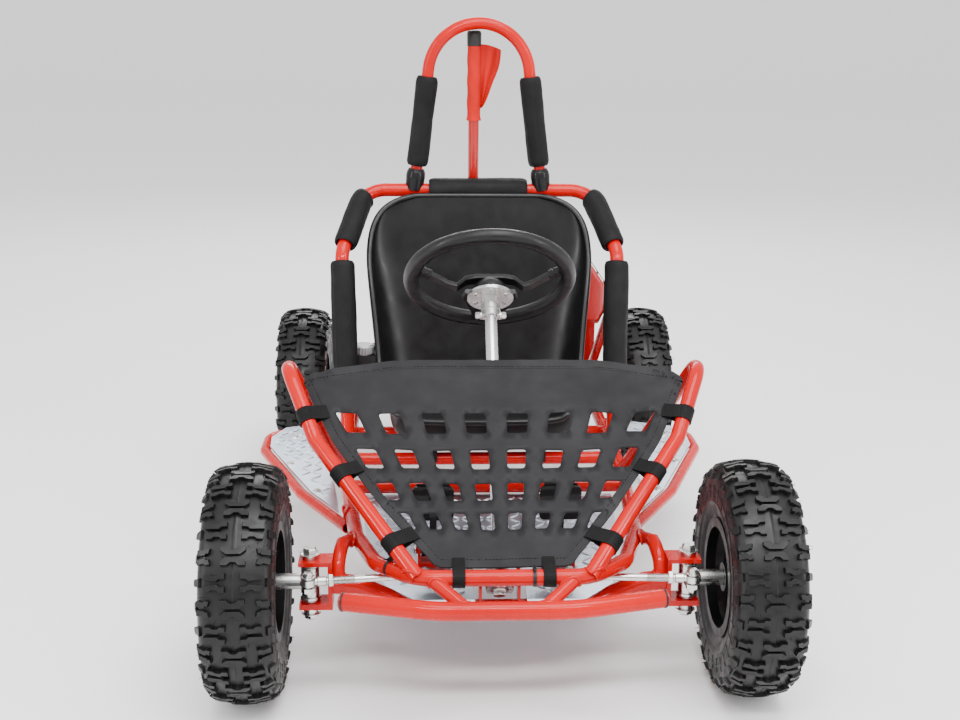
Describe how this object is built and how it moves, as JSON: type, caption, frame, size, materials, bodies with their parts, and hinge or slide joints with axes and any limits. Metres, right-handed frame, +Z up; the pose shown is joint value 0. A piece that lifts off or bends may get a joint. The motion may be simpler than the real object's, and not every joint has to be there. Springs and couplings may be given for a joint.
{
  "type": "go-kart",
  "caption": "Small off-road go-kart: welded tube frame, bucket seat in a padded cage, slotted cloth front cover, steered front wheels and a chain-driven rear axle.",
  "frame": {"origin": "on the ground under the middle of the bounding box, midway between the two axles", "axes": "-Y towards the kart's front, +X to the right as seen from the front, +Z up"},
  "size_m": [0.7934, 1.2799, 0.911],
  "materials": {
    "red_paint": "gloss powder coat",
    "dark_paint": "satin",
    "rim_paint": "gloss",
    "zinc": "zinc plated",
    "bright_steel": "satin",
    "tread_plate": "diamond pattern, satin",
    "cast_alloy": "as cast",
    "grey_iron": "machined",
    "tyre": "moulded rubber",
    "foam": "matte closed-cell foam",
    "seat_plastic": "satin black",
    "black_plastic": "satin",
    "red_plastic": "gloss",
    "cover_cloth": "coated woven cloth",
    "webbing": "woven webbing",
    "flag_cloth": "thin woven cloth",
    "grip_rubber": "soft moulded"
  },
  "bodies": {
    "chassis": {"front_bar": "red_paint", "main_rails": "red_paint", "cross_tubes": "red_paint", "front_hoop_right": "red_paint", "front_hoop_left": "red_paint", "dash_bar": "red_paint", "front_bumper": "red_paint", "bumper_end_caps": "red_plastic", "front_axle_beam": "red_paint", "kingpin_brackets": "red_paint", "brace_tubes": "red_paint", "fasteners": "zinc", "floor_plate": "tread_plate", "step_plates": "tread_plate", "side_bars": "red_paint", "cage_hoop": "red_paint", "roll_hoop": "red_paint", "hoop_sockets": "dark_paint", "foam_sleeves": "foam", "flag_pole": "red_plastic", "flag_cloth": "flag_cloth", "seat_shell": "seat_plastic", "seat_mounts": "dark_paint", "front_cover": "cover_cloth", "cover_straps": "webbing", "column_brackets": "red_paint", "axle_bearings": "red_paint", "brake_caliper": "cast_alloy", "engine_plate": "red_paint", "engine_block": "cast_alloy", "recoil_cover": "black_plastic", "fuel_tank": "red_plastic", "air_filter": "black_plastic", "muffler": "dark_paint", "drive_chain": "bright_steel", "pedal_mounts": "red_paint", "control_box": "black_plastic"},
    "steering": {"steering_column": "bright_steel", "steering_hub": "zinc", "steering_wheel": "grip_rubber", "pitman_arm": "zinc"},
    "knuckle_right": {"knuckle_right": "zinc"},
    "knuckle_left": {"knuckle_left": "zinc"},
    "tie_rod_right": {"tie_rod_right": "zinc"},
    "tie_rod_left": {"tie_rod_left": "zinc"},
    "front_wheel_right": {"front_tyre_right": "tyre", "front_rim_right": "rim_paint"},
    "front_wheel_left": {"front_tyre_left": "tyre", "front_rim_left": "rim_paint"},
    "rear_wheels": {"rear_axle": "bright_steel", "rear_tyres": "tyre", "rear_rims": "rim_paint", "axle_sprocket": "bright_steel", "brake_disc": "grey_iron"},
    "clutch": {"clutch": "bright_steel"},
    "throttle_pedal": {"throttle_pedal": "dark_paint"},
    "brake_pedal": {"brake_pedal": "dark_paint"},
    "recoil_handle": {"recoil_handle": "black_plastic"},
    "fuel_cap": {"fuel_cap": "black_plastic"},
    "control_knob": {"control_knob": "cast_alloy"}
  },
  "joints": [
    {"name": "steering_turn", "type": "hinge", "parent": "chassis", "child": "steering", "pos_m": [0, -0.47, 0.146], "axis": [0, 0.68, 0.7332], "range_deg": [-24, 24]},
    {"name": "knuckle_right_turn", "type": "hinge", "parent": "chassis", "child": "knuckle_right", "pos_m": [0.262, -0.475, 0.165], "axis": [0, 0, 1], "range_deg": [-24, 24]},
    {"name": "knuckle_left_turn", "type": "hinge", "parent": "chassis", "child": "knuckle_left", "pos_m": [-0.262, -0.475, 0.165], "axis": [0, 0, 1], "range_deg": [-24, 24]},
    {"name": "tie_rod_right_turn", "type": "hinge", "parent": "knuckle_right", "child": "tie_rod_right", "pos_m": [0.262, -0.513, 0.181], "axis": [0, 0, 1], "range_deg": [-24, 24]},
    {"name": "tie_rod_left_turn", "type": "hinge", "parent": "knuckle_left", "child": "tie_rod_left", "pos_m": [-0.262, -0.513, 0.181], "axis": [0, 0, 1], "range_deg": [-24, 24]},
    {"name": "front_wheel_right_spin", "type": "hinge", "parent": "knuckle_right", "child": "front_wheel_right", "pos_m": [0.3475, -0.475, 0.165], "axis": [1, 0, 0], "continuous": true},
    {"name": "front_wheel_left_spin", "type": "hinge", "parent": "knuckle_left", "child": "front_wheel_left", "pos_m": [-0.3475, -0.475, 0.165], "axis": [1, 0, 0], "continuous": true},
    {"name": "rear_axle_spin", "type": "hinge", "parent": "chassis", "child": "rear_wheels", "pos_m": [0, 0.475, 0.165], "axis": [1, 0, 0], "continuous": true},
    {"name": "clutch_spin", "type": "hinge", "parent": "chassis", "child": "clutch", "pos_m": [0.05, 0.525, 0.321], "axis": [1, 0, 0], "continuous": true},
    {"name": "throttle_pedal_press", "type": "hinge", "parent": "chassis", "child": "throttle_pedal", "pos_m": [-0.092, -0.379, 0.168], "axis": [1, 0, 0], "range_deg": [0, 25], "stiffness_Nm_per_rad": 1.5, "springref_deg": -17.19},
    {"name": "brake_pedal_press", "type": "hinge", "parent": "chassis", "child": "brake_pedal", "pos_m": [0.092, -0.379, 0.168], "axis": [1, 0, 0], "range_deg": [0, 25], "stiffness_Nm_per_rad": 2.5, "springref_deg": -17.19},
    {"name": "recoil_handle_pull", "type": "slide", "parent": "chassis", "child": "recoil_handle", "axis": [0, 0, 1], "range_m": [0, 0.09], "stiffness_N_per_m": 40, "springref_m": -0.1},
    {"name": "fuel_cap_turn", "type": "hinge", "parent": "chassis", "child": "fuel_cap", "pos_m": [0.172, 0.48, 0.45], "axis": [0, 0, 1], "range_deg": [0, 120]},
    {"name": "control_knob_turn", "type": "hinge", "parent": "chassis", "child": "control_knob", "pos_m": [-0.212, 0.18, 0.325], "axis": [0, 0, 1], "range_deg": [-135, 135]}
  ],
  "couplings": [
    {"joint": "knuckle_right_turn", "follows": "steering_turn", "ratio": 1},
    {"joint": "knuckle_left_turn", "follows": "steering_turn", "ratio": 1},
    {"joint": "tie_rod_right_turn", "follows": "steering_turn", "ratio": -1},
    {"joint": "tie_rod_left_turn", "follows": "steering_turn", "ratio": -1},
    {"joint": "clutch_spin", "follows": "rear_axle_spin", "ratio": 4}
  ]
}
